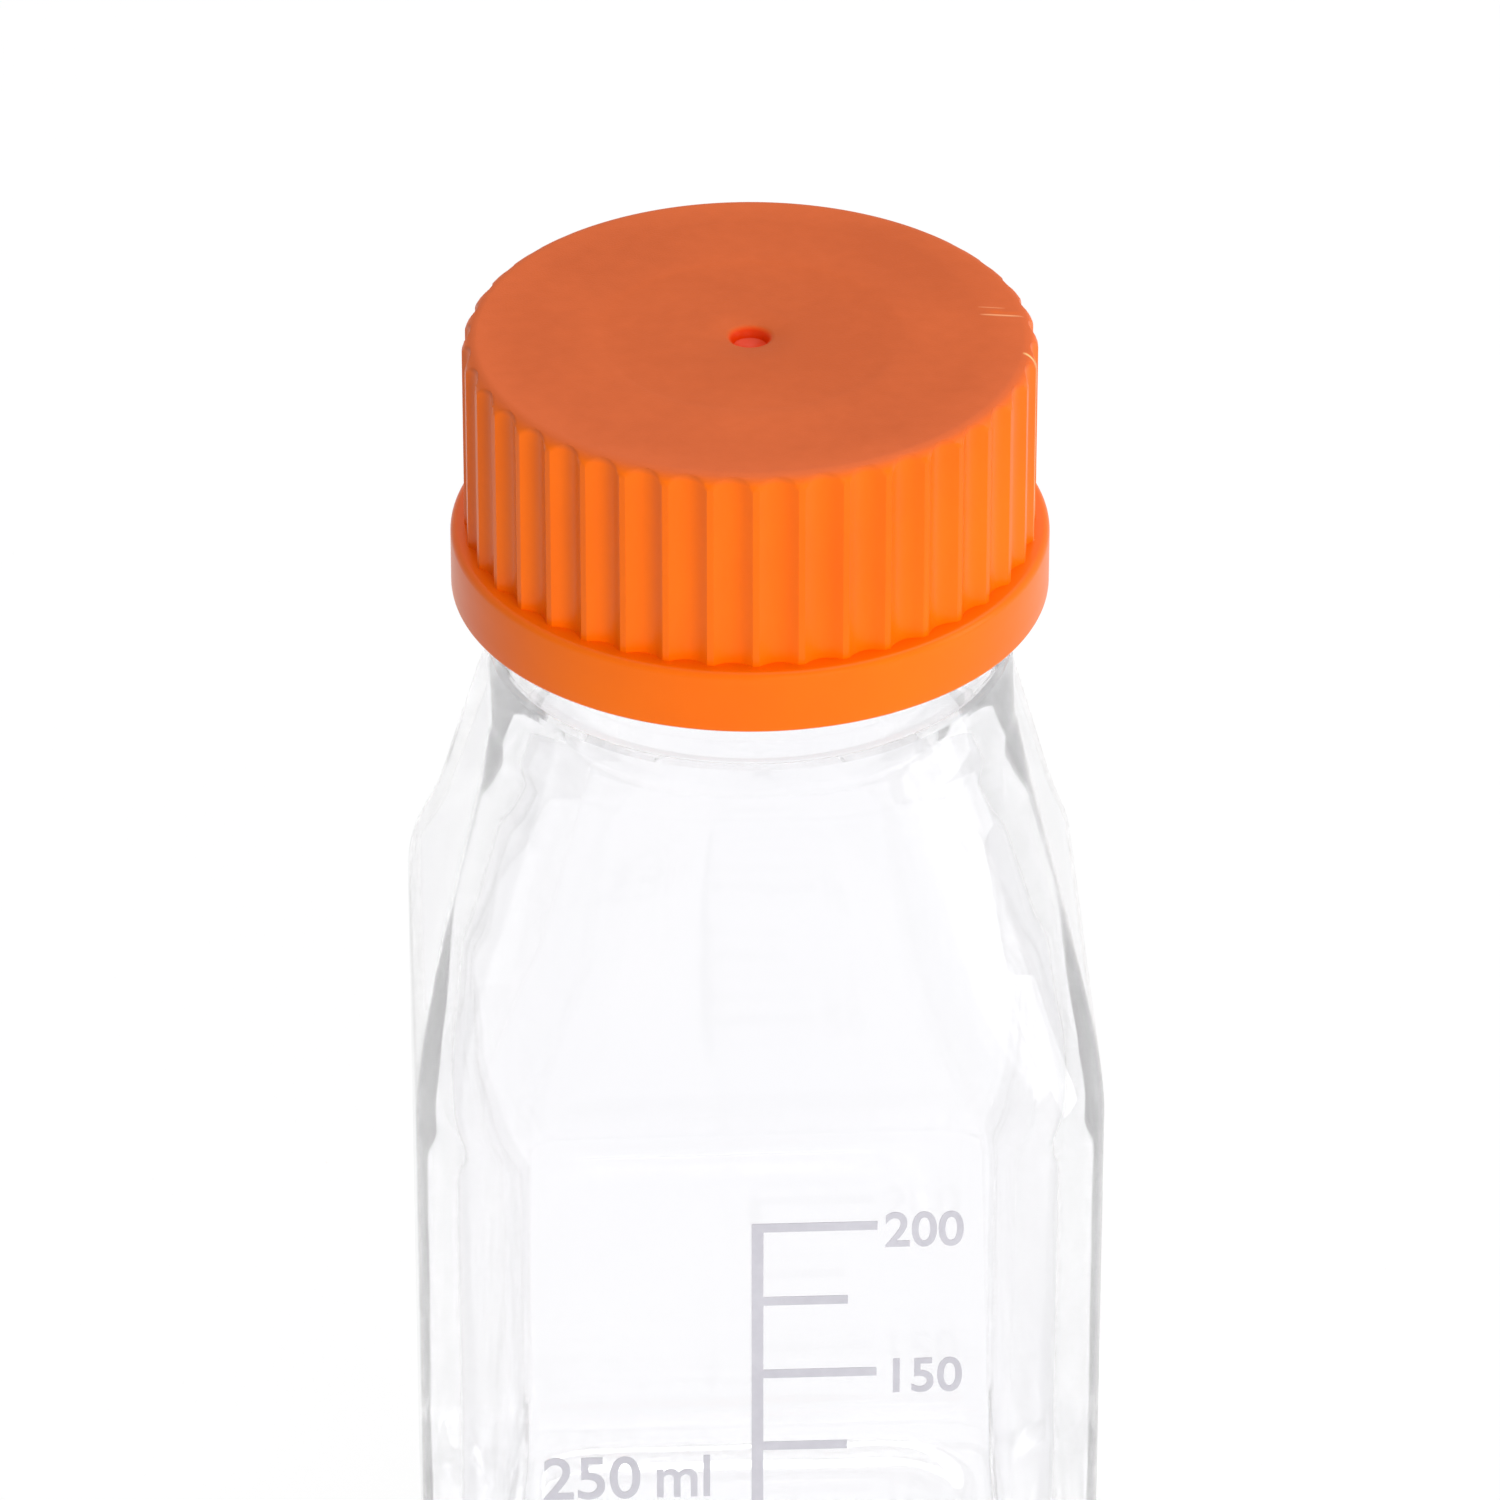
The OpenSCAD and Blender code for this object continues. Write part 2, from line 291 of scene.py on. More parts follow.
def cap_plastic(graph, place, shader):
    """Moulded orange plastic: glossy sides, a fine matt top with a few scratches.

    The top's colour holds a painted sheen, the dimple's hollow a painted shade, and the pale
    scratches and nick a painted highlight as well as their real wear.
    """
    axes = graph.node("ShaderNodeSeparateXYZ", _0=place)
    x, y, z = (graph.num(axes.outputs[i]) for i in range(3))
    radius = graph.math("SQRT", x * x + y * y) / MM
    flow = noise(graph, place, 45.0, 3.0)
    fine = noise(graph, place, 600.0, 3.0)
    grain = noise(graph, place, 5200.0, 2.0)
    level_z = z / MM - TOP_Z
    top_face = grey_ramp(graph, level_z, -0.9, -0.15, 0.0, 1.0)
    # Painted shade: a darker red mask over the dimple's walls and floor.
    hollow_shade = grey_ramp(graph, radius, DIMPLE_R + 0.1, DIMPLE_R + 0.5, 1.0, 0.0)
    hollow_shade = hollow_shade * grey_ramp(graph, level_z, -0.5, -0.15, 1.0, 0.0)
    hollow_shade = hollow_shade * grey_ramp(graph, level_z, -1.9, -1.7, 0.0, 1.0)
    disc = grey_ramp(graph, radius, DISC_R - 0.5, DISC_R + 0.4, 1.0, 0.0)
    rim = grey_ramp(graph, radius, CAP_R - 5.0, CAP_R - 1.0, 0.0, 1.0)
    side = ramp(graph, flow, (0.3, (0.91, 0.142, 0.0, 1)), (0.7, (0.98, 0.172, 0.0, 1)))
    # The top's colour: the matt top's own duller tone with a painted sheen in it, bluer and less
    # saturated than the sides.
    matt_top_and_sheen = ramp(graph, flow + (fine - 0.5) * 0.3 + rim * 0.25 - disc * 0.06,
                (0.3, (0.57, 0.096, 0.014, 1)), (0.75, (0.67, 0.122, 0.024, 1)))
    # Scratches and a nick near the top's edge: real wear, with a painted highlight in their pale
    # colours.
    scratch_and_glint = stroke(graph, x, y, (21.1, 2.9), (25.2, 2.3), 0.2)
    fainter = stroke(graph, x, y, (21.0, 4.3), (23.6, 3.9), 0.14) * 0.5
    scratch_and_glint = graph.math("MAXIMUM", scratch_and_glint, fainter)
    nick_and_glint = stroke(graph, x, y, (24.6, -4.4), (26.0, -4.9), 0.24)
    worn = grey_ramp(graph, fine, 0.35, 0.6, 0.2, 1.0)
    scuff = stroke(graph, x, y, (21.6, 3.4), (25.0, 2.9), 0.5) * worn
    matt_top_and_sheen = mix(graph, scuff * 0.7, matt_top_and_sheen, (0.80, 0.135, 0.006, 1))
    # The scratches' pale colour: partly real wear, partly painted highlight.
    matt_top_and_sheen = mix(graph, scratch_and_glint, matt_top_and_sheen, (1.0, 0.42, 0.18, 1))
    colour = mix(graph, top_face, side, matt_top_and_sheen)
    # Painted shade in the dimple's hollow.
    colour = mix(graph, hollow_shade, colour, (0.74, 0.045, 0.0, 1))
    # The nick's pale yellow: a painted highlight on a real nick.
    colour = mix(graph, nick_and_glint, colour, (1.0, 0.66, 0.26, 1))
    graph.feed(shader, "Base Color", colour)
    scored = graph.math("MAXIMUM", scratch_and_glint, nick_and_glint)
    graph.feed(shader, "Roughness", 0.27 + 0.1 * flow + top_face * 0.25 - scored * 0.2)
    height = grain * (0.2 + top_face) + fine * 0.5 + flow * 1.6 - scored * 3.0
    graph.feed(shader, "Normal", bump(graph, height, 0.00003, 0.6))
    shader.inputs["IOR"].default_value = 1.5
    shader.inputs["Specular IOR Level"].default_value = 0.2


def ring_plastic(graph, place, shader):
    """Moulded orange plastic, smooth all over."""
    flow = noise(graph, place, 80.0, 3.0)
    colour = ramp(graph, flow, (0.3, (0.9, 0.17, 0.0, 1)), (0.7, (1.0, 0.21, 0.004, 1)))
    graph.feed(shader, "Base Color", colour)
    graph.feed(shader, "Roughness", 0.25 + 0.12 * flow)
    graph.feed(shader, "Normal", bump(graph, flow, 0.00003, 0.5))


def enamel(graph, place, shader):
    """Fired enamel: thin, matt and slightly uneven."""
    patch = noise(graph, place, 420.0, 4.0, 0.6)
    fine = noise(graph, place, 3800.0, 2.0)
    colour = ramp(graph, patch, (0.3, (0.54, 0.53, 0.58, 1)), (0.7, (0.60, 0.59, 0.64, 1)))
    graph.feed(shader, "Base Color", colour)
    graph.feed(shader, "Roughness", 0.42 + 0.2 * fine)
    graph.feed(shader, "Normal", bump(graph, fine + patch, 0.00002, 0.5))


GLASS = material("blown clear glass", clear_glass)
CAP = material("orange cap plastic", cap_plastic)
RING = material("orange ring plastic", ring_plastic)
ENAMEL = material("white enamel", enamel)


# --- the glass --------------------------------------------------------------------------------

ARC_STEPS = 24
FLAT_STEPS = 10
CORNERS = ((1, 1), (-1, 1), (-1, -1), (1, -1))


def smoothstep(t):
    """Eases from 0 to 1."""
    return t * t * (3 - 2 * t)


def clamp01(t):
    return min(1.0, max(0.0, t))


def level(half, radius, z):
    """One level of the glass: a square with rounded corners, as points in order."""
    r = min(radius, half - 0.02)
    points = []
    for quarter, (sx, sy) in enumerate(CORNERS):
        for i in range(ARC_STEPS + 1):
            a = math.pi / 2 * (quarter + i / ARC_STEPS)
            points.append((sx * (half - r) + r * math.cos(a), sy * (half - r) + r * math.sin(a)))
        nx, ny = CORNERS[(quarter + 1) % 4]
        a = math.pi / 2 * (quarter + 1)
        start = np.array(points[-1])
        end = np.array([nx * (half - r) + r * math.cos(a), ny * (half - r) + r * math.sin(a)])
        points += [tuple(start + (end - start) * k / FLAT_STEPS) for k in range(1, FLAT_STEPS)]
    return [(px, py, z) for px, py in points]


def round_level(radius, z, ridge=None):
    """A level of the neck, with the thread's ridge where ridge(angle, z) gives its height."""
    points = []
    for px, py, _ in level(radius, radius, z):
        a = math.atan2(py, px) % (2 * math.pi)
        r = radius + (ridge(a, z) if ridge else 0.0)
        points.append((r * math.cos(a), r * math.sin(a), z))
    return points


def thread_height(a, z):
    """How far the thread stands out of the neck at this angle and height."""
    half_foot = 1.6
    best = 0.0
    for turn in range(int(GLASS_TURNS) + 1):
        along = a / (2 * math.pi) + turn
        if along > GLASS_TURNS:
            continue
        fade = clamp01(min(along, GLASS_TURNS - along) * 10)
        off = abs(z - THREAD_Z - PITCH * along)
        rise = clamp01(half_foot - off)
        best = max(best, THREAD_H * smoothstep(rise) * smoothstep(0.2 + 0.8 * fade))
    return best


def shoulder_half(z, half, neck):
    """Half width of the shoulder: a soft bend, then a straight slope in to the neck's radius."""
    t = clamp01((z - SIDE_H) / (PANEL_SHARE * SHOULDER_H))
    half_bend = SHOULDER_BEND / 2
    fallen = t * t / (2 * SHOULDER_BEND) if t < SHOULDER_BEND else t - half_bend
    return half - (half - neck) * fallen / (1 - half_bend)


def shoulder_corner(z, radius, half):
    """Corner radius of the shoulder: the corners open at the bend, hold, and end round."""
    open_share = 0.42
    round_share = 0.25
    t = clamp01((z - SIDE_H) / SHOULDER_H)
    opened = min(half, max(radius, SHOULDER_R + radius - CORNER_R))
    part = min(1.0, t / open_share)
    held = radius + (opened - radius) * part * part * (3 - 2 * part)
    last = clamp01((t - 1 + round_share) / round_share)
    return held + (half - held) * last ** 1.6


def side_levels(inward, bend, floor_z):
    """Levels from a floor, round the bend and up to the neck; inward 1 follows the inside."""
    levels = []
    half = HALF_W - inward * WALL
    radius = CORNER_R - inward * WALL * 0.5
    neck = COLLAR_BORE_R if inward else COLLAR_R
    for k in range(9):
        a = math.pi / 2 * k / 8
        inset = bend * (1 - math.sin(a))
        up = bend * (1 - math.cos(a))
        levels.append(level(half - inset, max(radius - inset, 2), floor_z + up))
    for z in np.linspace(floor_z + bend + 2, SIDE_H - 2, 12):
        levels.append(level(half, radius, z))
    for z in np.linspace(SIDE_H - 2, COLLAR_Z - 0.3, 64)[1:]:
        wide = shoulder_half(z, half, neck)
        levels.append(level(wide, shoulder_corner(z, radius, wide), z))
    return levels


def make_mesh(name, points, faces, look, body, replaces=(), smooth_angle=40.0):
    """Makes a piece from faces on points given in millimetres."""
    mesh = bpy.data.meshes.new(name)
    mesh.from_pydata([tuple(c * MM for c in p) for p in points], [], faces)
    return finish_piece(name, mesh, look, body, replaces, smooth_angle)


def finish_piece(name, mesh, look, body, replaces=(), smooth_angle=40.0):
    """Makes a mesh a piece of the object: outward faces, smooth shading, material, body."""
    work = bmesh.new()
    work.from_mesh(mesh)
    bmesh.ops.remove_doubles(work, verts=work.verts, dist=1e-7)
    bmesh.ops.dissolve_degenerate(work, edges=work.edges, dist=1e-8)
    bmesh.ops.recalc_face_normals(work, faces=work.faces)
    work.to_mesh(mesh)
    work.free()
    mesh.materials.clear()
    mesh.materials.append(look)
    mesh.shade_smooth()
    mesh.set_sharp_from_angle(angle=math.radians(smooth_angle))
    piece = bpy.data.objects.new(name, mesh)
    bpy.context.scene.collection.objects.link(piece)
    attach(piece, body)
    if replaces:
        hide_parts(*replaces)
    return piece


def glass_bottle():
    """The whole glass as one closed skin: up the outside, over the lip and down the inside."""
    rim = HEEL_R + 3
    outside = [level(HALF_W - rim - 8, 8, PUNT), level(HALF_W - rim - 4, 8, PUNT),
               level(HALF_W - rim - 2, 9, PUNT * 0.5), level(HALF_W - rim, 9, 0)]
    outside += side_levels(0, HEEL_R, 0.0)
    collar = COLLAR_R - COLLAR_STEP
    bend_z = COLLAR_Z + 4.4
    for r, z in [(collar - 1.6, COLLAR_Z - 0.2), (collar - 0.4, COLLAR_Z - 0.1),
                 (collar - 0.1, COLLAR_Z + 0.1), (collar, COLLAR_Z + 0.4), (collar, COLLAR_Z + 2.4),
                 (collar, bend_z)]:
        outside.append(round_level(r, z))
    for a in np.radians(np.arange(15, 91, 15)):
        r = NECK_R + (collar - NECK_R) * math.cos(a)
        outside.append(round_level(r, bend_z + 2.4 * math.sin(a)))
    for z in np.arange(COLLAR_Z + 7.2, LIP_Z - LIP_H - 0.05, 0.25):
        outside.append(round_level(NECK_R, z, thread_height))
    groove = LIP_R - LIP_GROOVE
    for r, z in [(NECK_R, LIP_Z - LIP_H), (groove, LIP_Z - LIP_H + 0.8),
                 (groove, LIP_Z - LIP_BEAD_H - 0.5), (LIP_R, LIP_Z - LIP_BEAD_H)]:
        outside.append(round_level(r, z))
    edge_z = LIP_Z - LIP_EDGE
    for centre_r, start in ((LIP_R - LIP_EDGE, 0), (LIP_BORE_R + LIP_EDGE, 90)):
        for a in np.radians(np.arange(start, start + 91, 15)):
            r = centre_r + LIP_EDGE * math.cos(a)
            outside.append(round_level(r, edge_z + LIP_EDGE * math.sin(a)))
    inside = side_levels(1, HEEL_R + 1, PUNT + BASE_T)
    throat = []
    for t in np.linspace(0, 1, 8):
        r = BORE_R + (COLLAR_BORE_R - BORE_R) * smoothstep(1 - t)
        throat.append(round_level(r, COLLAR_Z + 0.4 + 5 * t))
    throat += [round_level(BORE_R, LIP_Z - LIP_H - 4), round_level(LIP_BORE_R, LIP_Z - LIP_H - 1)]
    levels = outside + throat[::-1] + inside[::-1]
    count = len(levels[0])
    points = [p for one in levels for p in one]
    faces = []
    for k in range(len(levels) - 1):
        for i in range(count):
            j = (i + 1) % count
            low, high = k * count, (k + 1) * count
            faces.append((low + i, low + j, high + j, high + i))
    for ring_start, flip in ((0, True), ((len(levels) - 1) * count, False)):
        ring = points[ring_start:ring_start + count]
        points.append((0.0, 0.0, ring[0][2]))
        centre = len(points) - 1
        for i in range(count):
            a, b = ring_start + i, ring_start + (i + 1) % count
            faces.append((centre, b, a) if flip else (centre, a, b))
    return make_mesh("glass_bottle", points, faces, GLASS, "bottle", ["bottle"], 34.0)


# --- turned and ribbed pieces, made with geometry nodes ----------------------------------------

def tree_inputs(tree, inputs):
    """Gives a geometry tree its named inputs, with geometry in and out; returns its builder."""
    face = tree.interface
    face.new_socket("Geometry", in_out="INPUT", socket_type="NodeSocketGeometry")
    for label, kind in inputs:
        face.new_socket(label, in_out="INPUT", socket_type="NodeSocket" + kind)
    face.new_socket("Geometry", in_out="OUTPUT", socket_type="NodeSocketGeometry")
    return Graph(tree)


def turning_tree(name):
    """A modifier that turns an outline round the axis and cuts hollow flutes into its outside."""
    tree = bpy.data.node_groups.new(name, "GeometryNodeTree")
    graph = tree_inputs(tree, (
        ("Path radius", "Float"), ("Steps", "Int"), ("Flutes", "Int"), ("Wall radius", "Float"),
        ("Flute depth", "Float"), ("Flute share", "Float"), ("Flute turn", "Float"),
        ("Flutes start", "Float"), ("Material", "Material")))
    given = graph.node("NodeGroupInput").outputs
    outline = graph.node("GeometryNodeMeshToCurve", _0=given["Geometry"]).outputs[0]
    circle = graph.node("GeometryNodeCurvePrimitiveCircle", Resolution=given["Steps"],
                        Radius=given["Path radius"]).outputs[0]
    swept = graph.node("GeometryNodeCurveToMesh", Curve=circle, Profile_Curve=outline).outputs[0]
    here = graph.node("GeometryNodeInputPosition").outputs[0]
    axes = graph.node("ShaderNodeSeparateXYZ", _0=here)
    x, y, z = (graph.num(axes.outputs[i]) for i in range(3))
    radius = graph.math("SQRT", x * x + y * y)
    angle = graph.math("ARCTAN2", y, x) / (2 * math.pi)
    count = angle * graph.num(given["Flutes"]) - graph.num(given["Flute turn"])
    phase = graph.math("FRACT", count + 0.5) - 0.5
    across = abs(phase) * 2 / graph.num(given["Flute share"])
    hollow = graph.math("SMOOTH_MAX", 1 - across * across, 0.0, 0.12)
    cut = graph.num(given["Wall radius"]) - graph.num(given["Flute depth"]) * hollow
    above = z > graph.num(given["Flutes start"])
    wanted = graph.math("MINIMUM", radius, cut)
    scale = 1 + above * (wanted / graph.math("MAXIMUM", radius, 1e-6) - 1)
    moved = graph.node("ShaderNodeCombineXYZ", _0=x * scale, _1=y * scale, _2=z).outputs[0]
    placed = graph.node("GeometryNodeSetPosition", _0=swept, Position=moved).outputs[0]
    merged = graph.node("GeometryNodeMergeByDistance", _0=placed, Distance=1e-6).outputs[0]
    real = graph.node("GeometryNodeRealizeInstances", _0=merged).outputs[0]
    painted = graph.node("GeometryNodeSetMaterial", _0=real, Material=given["Material"]).outputs[0]
    tree.links.new(painted, graph.node("NodeGroupOutput").inputs[0])
    return tree


def run_tree(tree, name, values, mesh=None):
    """Runs a geometry tree on a mesh and returns the plain mesh that it makes."""
    holder = bpy.data.objects.new(name, mesh or bpy.data.meshes.new(name))
    bpy.context.scene.collection.objects.link(holder)
    modifier = holder.modifiers.new(name, "NODES")
    modifier.node_group = tree
    keys = {s.name: s.identifier for s in tree.interface.items_tree if s.in_out == "INPUT"}
    for label, value in values.items():
        modifier[keys[label]] = value
    bpy.context.view_layer.update()
    graph = bpy.context.evaluated_depsgraph_get()
    made = bpy.data.meshes.new_from_object(holder.evaluated_get(graph))
    holder.modifiers.clear()
    bpy.data.objects.remove(holder)
    return made


def outline_mesh(points, path_radius):
    """An outline of (radius, height) points as a closed wire for the turning tree."""
    mesh = bpy.data.meshes.new("outline")
    wire = [((r - path_radius) * MM, -z * MM, 0.0) for r, z in points]
    count = len(wire)
    mesh.from_pydata(wire, [(i, (i + 1) % count) for i in range(count)], [])
    return mesh


def arc(cx, cz, radius, start, end, steps):
    """Outline points on an arc about (cx, cz), from one angle to another in degrees."""
    return [(cx + radius * math.cos(a), cz + radius * math.sin(a))
            for a in np.radians(np.linspace(start, end, steps + 1))]


def cap_outline():
    """The cap's section: the ceiling, the seal, the bore, the foot, the band, the side, the top."""
    band_z = FOOT_Z + BAND_H
    inner = SEAL_R - SEAL_WALL
    points = [(0.0, CEILING_Z), (inner, CEILING_Z), (inner + 0.3, CEILING_Z - SEAL_LEN),
              (SEAL_R - 0.5, CEILING_Z - SEAL_LEN), (SEAL_R, CEILING_Z - SEAL_LEN + 1),
              (SEAL_R, CEILING_Z),
              (CAP_BORE_R - 0.8, CEILING_Z), (CAP_BORE_R, CEILING_Z - 0.8),
              (CAP_BORE_R, FOOT_Z + 2.5),
              (CAP_BORE_R + 1.2, FOOT_Z + 0.6), (CAP_BORE_R + 1.6, FOOT_Z)]
    points += arc(BAND_R - 0.4, FOOT_Z + 0.4, 0.4, -90, 0, 6)
    points += [(BAND_R, FOOT_Z + BAND_H * t) for t in (0.3, 0.6)]
    points += arc(BAND_R - 0.7, band_z - 0.7, 0.7, 0, 90, 8)
    points += [(CAP_R, band_z + 0.001)]
    points += [(CAP_R, z) for z in np.linspace(band_z + 0.1, TOP_Z - TOP_EDGE, 14)]
    points += arc(CAP_R - TOP_EDGE, TOP_Z - TOP_EDGE, TOP_EDGE, 0, 90, 18)[1:]
    points += [(21.0, TOP_Z), (16.0, TOP_Z), (DISC_R + 0.5, TOP_Z)]
    floor_z = TOP_Z - DISC_DEPTH
    points += [(DISC_R, floor_z + DISC_DEPTH / 2), (DISC_R - 0.5, floor_z), (10.0, floor_z),
               (5.0, floor_z)]
    points += [(DIMPLE_R + 0.45, floor_z), (DIMPLE_R + 0.15, TOP_Z - 0.2),
               (DIMPLE_R - 0.15, TOP_Z - 0.5), (DIMPLE_R - 0.35, TOP_Z - 1.2),
               (DIMPLE_R - 0.9, TOP_Z - 1.45), (0.0, TOP_Z - 1.5)]
    return points


def helix_tree(name):
    """A thread: a ridge section swept along a helix, thinning out at both ends."""
    tree = bpy.data.node_groups.new(name, "GeometryNodeTree")
    graph = tree_inputs(tree, (
        ("Radius", "Float"), ("Turns", "Float"), ("Pitch", "Float"), ("Start turn", "Float"),
        ("Start height", "Float"), ("Steps", "Int"), ("Material", "Material")))
    given = graph.node("NodeGroupInput").outputs
    turns, first = graph.num(given["Turns"]), graph.num(given["Start turn"])
    path = graph.node("GeometryNodeCurvePrimitiveLine").outputs[0]
    path = graph.node("GeometryNodeResampleCurve", Curve=path, Count=given["Steps"]).outputs[0]
    share = graph.num(graph.node("GeometryNodeSplineParameter").outputs["Factor"])
    turn = first + share * turns
    angle = turn * (2 * math.pi)
    radius = graph.num(given["Radius"])
    height = graph.num(given["Start height"]) + graph.num(given["Pitch"]) * turn
    spot = graph.node("ShaderNodeCombineXYZ", _0=graph.math("COSINE", angle) * radius,
                      _1=graph.math("SINE", angle) * radius, _2=height).outputs[0]
    path = graph.node("GeometryNodeSetPosition", _0=path, Position=spot).outputs[0]
    path = graph.node("GeometryNodeSetCurveNormal", {"mode": "Z_UP"}, _0=path).outputs[0]
    ends = graph.math("MINIMUM", share, 1 - share) * turns
    thick = graph.clamped(ends * 9 + 0.15)
    section = graph.node("GeometryNodeMeshToCurve", _0=given["Geometry"]).outputs[0]
    swept = graph.node("GeometryNodeCurveToMesh", Curve=path, Profile_Curve=section, Scale=thick,
                       Fill_Caps=True).outputs[0]
    real = graph.node("GeometryNodeRealizeInstances", _0=swept).outputs[0]
    painted = graph.node("GeometryNodeSetMaterial", _0=real, Material=given["Material"]).outputs[0]
    tree.links.new(painted, graph.node("NodeGroupOutput").inputs[0])
    return tree


def cap_thread(tree):
    """The thread inside the cap, its foot sunk in the wall."""
    foot = CAP_BORE_R + 0.4
    half_foot = 1.5
    half_tip = 0.5
    section = [(foot, -half_foot), (CAP_TIP_R, -half_tip), (CAP_TIP_R, half_tip),
               (foot, half_foot)]
    made = run_tree(tree, "cap_thread_sweep", {
        "Radius": foot * MM, "Turns": CAP_TURNS, "Pitch": PITCH * MM,
        "Start turn": CAP_THREAD_FIRST, "Start height": CAP_THREAD_Z * MM, "Steps": 150,
        "Material": CAP}, outline_mesh(section, foot))
    return finish_piece("cap_inner_thread", made, CAP, "cap", (), 30.0)


def screw_cap(tree):
    """The cap: its outline turned round the axis, with the flutes cut above the band."""
    path = 40.0
    steps_per_flute = 14
    made = run_tree(tree, "cap_turning", {
        "Path radius": path * MM, "Steps": FLUTES * steps_per_flute, "Flutes": FLUTES,
        "Wall radius": CAP_R * MM,
        "Flute depth": FLUTE_DEPTH * MM, "Flute share": FLUTE_SHARE, "Flute turn": FLUTE_TURN,
        "Flutes start": (FOOT_Z + BAND_H + 0.0005) * MM, "Material": CAP},
        outline_mesh(cap_outline(), path))
    return finish_piece("ribbed_screw_cap", made, CAP, "cap", ["screw_cap"], 30.0)


TURNING = turning_tree("turned and fluted")
HELIX = helix_tree("thread ridge")


# --- the printed scale ------------------------------------------------------------------------

def marks_tree(name):
    """Long and short bars in turn, at equal steps down from the first."""
    tree = bpy.data.node_groups.new(name, "GeometryNodeTree")
    graph = tree_inputs(tree, (
        ("Count", "Int"), ("Step", "Float"), ("First", "Vector"), ("Long", "Float"),
        ("Short", "Float"), ("Height", "Float"), ("Thickness", "Float"),
        ("Material", "Material")))
    given = graph.node("NodeGroupInput").outputs
    fall = graph.num(given["Step"]) * -1.0
    down = graph.node("ShaderNodeCombineXYZ", _0=0.0, _1=0.0, _2=fall).outputs[0]
    line = graph.node("GeometryNodeMeshLine", {"mode": "OFFSET"}, Count=given["Count"],
                      Start_Location=given["First"], Offset=down).outputs[0]
    index = graph.num(graph.node("GeometryNodeInputIndex").outputs[0])
    odd = graph.math("MODULO", index, 2.0)
    long_bar, short_bar = graph.num(given["Long"]), graph.num(given["Short"])
    length = long_bar + odd * (short_bar - long_bar)
    shift = graph.node("ShaderNodeCombineXYZ", _0=length * 0.5, _1=0.0, _2=0.0).outputs[0]
    placed = graph.node("GeometryNodeSetPosition", _0=line, Offset=shift).outputs[0]
    size = graph.node("ShaderNodeCombineXYZ", _0=length, _1=given["Thickness"],
                      _2=given["Height"]).outputs[0]
    bar = graph.node("GeometryNodeMeshCube").outputs[0]
    column = graph.node("GeometryNodeInstanceOnPoints", Points=placed, Instance=bar,
                        Scale=size).outputs[0]
    real = graph.node("GeometryNodeRealizeInstances", _0=column).outputs[0]
    painted = graph.node("GeometryNodeSetMaterial", _0=real, Material=given["Material"]).outputs[0]
    tree.links.new(painted, graph.node("NodeGroupOutput").inputs[0])
    return tree


def bars(count, step, first, long_bar, short_bar, height):
    """A column of enamel bars on the front of the glass, from their left ends at first."""
    values = {"Count": count, "Step": step * MM, "Long": long_bar * MM, "Short": short_bar * MM,
              "Height": height * MM, "Thickness": PRINT_T * MM, "Material": ENAMEL,
              "First": (first[0] * MM, (-HALF_W - PRINT_T / 2) * MM, first[1] * MM)}
    return run_tree(MARKS, "scale_bars", values)


MARKS = marks_tree("scale marks")


def number(text, size, x, z, narrow):
    """A number's mesh, its left foot at x and z on the front of the glass."""
    curve = bpy.data.curves.new("number " + text, "FONT")
    curve.body = text
    curve.size = size * MM
    curve.extrude = PRINT_T * MM / 2
    curve.offset = PRINT_BOLD * MM
    holder = bpy.data.objects.new(curve.name, curve)
    bpy.context.scene.collection.objects.link(holder)
    bpy.context.view_layer.update()
    graph = bpy.context.evaluated_depsgraph_get()
    mesh = bpy.data.meshes.new_from_object(holder.evaluated_get(graph))
    bpy.data.objects.remove(holder)
    for vertex in mesh.vertices:
        px, py, pz = vertex.co
        vertex.co = Vector((px * narrow + x * MM, (-HALF_W - PRINT_T / 2) * MM - pz, py + z * MM))
    return mesh


def printed_scale():
    """The spine, its seven marks, their numbers and the volume, as one thin piece."""
    work = bmesh.new()
    top_z = MARK_200_Z + MARK_T / 2
    spine_start = (SPINE_X - SPINE_W / 2, (SPINE_FOOT_Z + top_z) / 2)
    work.from_mesh(bars(1, 0.0, spine_start, SPINE_W, SPINE_W, top_z - SPINE_FOOT_Z))
    edge = SPINE_X + SPINE_W / 2
    first = (edge, MARK_200_Z)
    work.from_mesh(bars(7, MARK_STEP, first, LONG_END - edge, SHORT_END - edge, MARK_T))
    for k, text in enumerate(("200", "150", "100", "50")):
        foot_z = MARK_200_Z - 2 * k * MARK_STEP - NUMBER_DROP
        work.from_mesh(number(text, NUMBER_SIZE, NUMBER_X, foot_z, NARROW))
    work.from_mesh(number("250", VOLUME_SIZE, VOLUME_X, VOLUME_Z, NARROW))
    work.from_mesh(number("ml", VOLUME_SIZE, UNIT_X, VOLUME_Z, UNIT_NARROW))
    mesh = bpy.data.meshes.new("printed_scale")
    work.to_mesh(mesh)
    work.free()
    return finish_piece("printed_scale", mesh, ENAMEL, "bottle", (), 30.0)


# --- the scene --------------------------------------------------------------------------------

def camera():
    """Looks down on the bottle from in front, with the bottle turned a little."""
    distance = 0.99685
    rise = math.radians(31.61)
    yaw = math.radians(2.5)
    target_z = 0.09864
    lens = 256.4
    made = bpy.data.objects.new("camera", bpy.data.cameras.new("camera"))
    made.data.lens = lens
    made.data.sensor_width = 36.0
    made.data.clip_end = 50.0
    target = Vector((0.0, 0.0, target_z))
    flat = distance * math.cos(rise)
    offset = (-flat * math.sin(yaw), -flat * math.cos(yaw), distance * math.sin(rise))
    made.location = target + Vector(offset)
    made.rotation_euler = (target - made.location).to_track_quat("-Z", "Y").to_euler()
    bpy.context.scene.collection.objects.link(made)
    bpy.context.scene.camera = made


